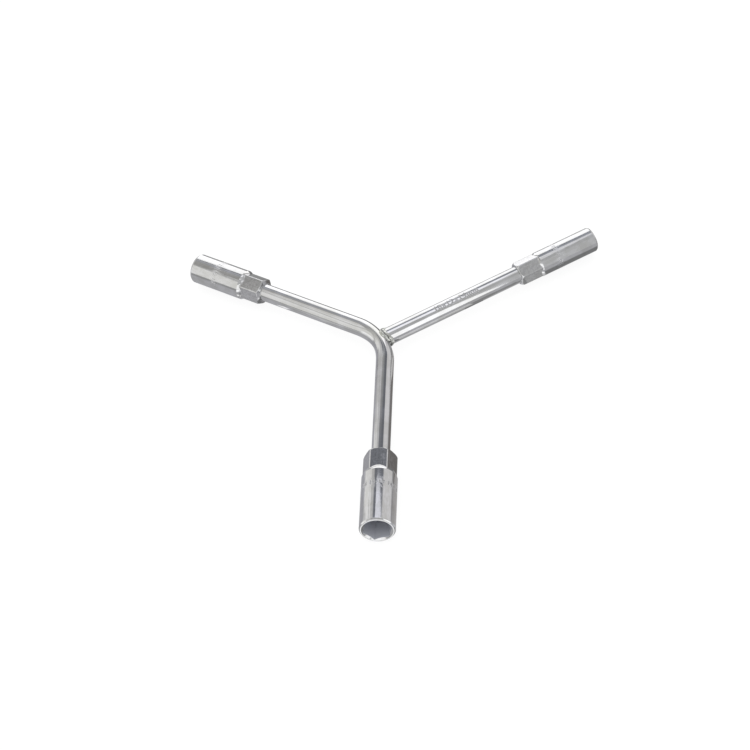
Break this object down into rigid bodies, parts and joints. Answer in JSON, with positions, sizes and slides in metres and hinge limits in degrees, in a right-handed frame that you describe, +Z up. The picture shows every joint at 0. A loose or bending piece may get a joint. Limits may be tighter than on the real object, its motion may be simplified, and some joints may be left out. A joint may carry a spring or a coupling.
{
  "type": "y wrench",
  "caption": "Rigid Y-shaped hand wrench: a bent rod and a welded branch rod, with a deep hexagon socket of its own size on each arm, chrome plated.",
  "frame": {"origin": "middle of the outline's bounding box, on the surface that the wrench lies on", "axes": "+Z up off the surface; the three arms lie level; -Y along the front arm with the large socket; the left arm points to -X and +Y, the right arm to +X and +Y"},
  "size_m": [0.2372, 0.2096, 0.0191],
  "materials": {
    "rod_chrome": "bright plate, fine drawn lines along the rod",
    "weld_chrome": "bright plate over an uneven weld bead",
    "socket_chrome": "bright plate, fine lines round and along"
  },
  "bodies": {
    "root": {"bent_rod": "rod_chrome", "branch_rod": "rod_chrome", "junction_weld": "weld_chrome", "socket_large": "socket_chrome", "socket_medium": "socket_chrome", "socket_small": "socket_chrome"}
  },
  "joints": []
}
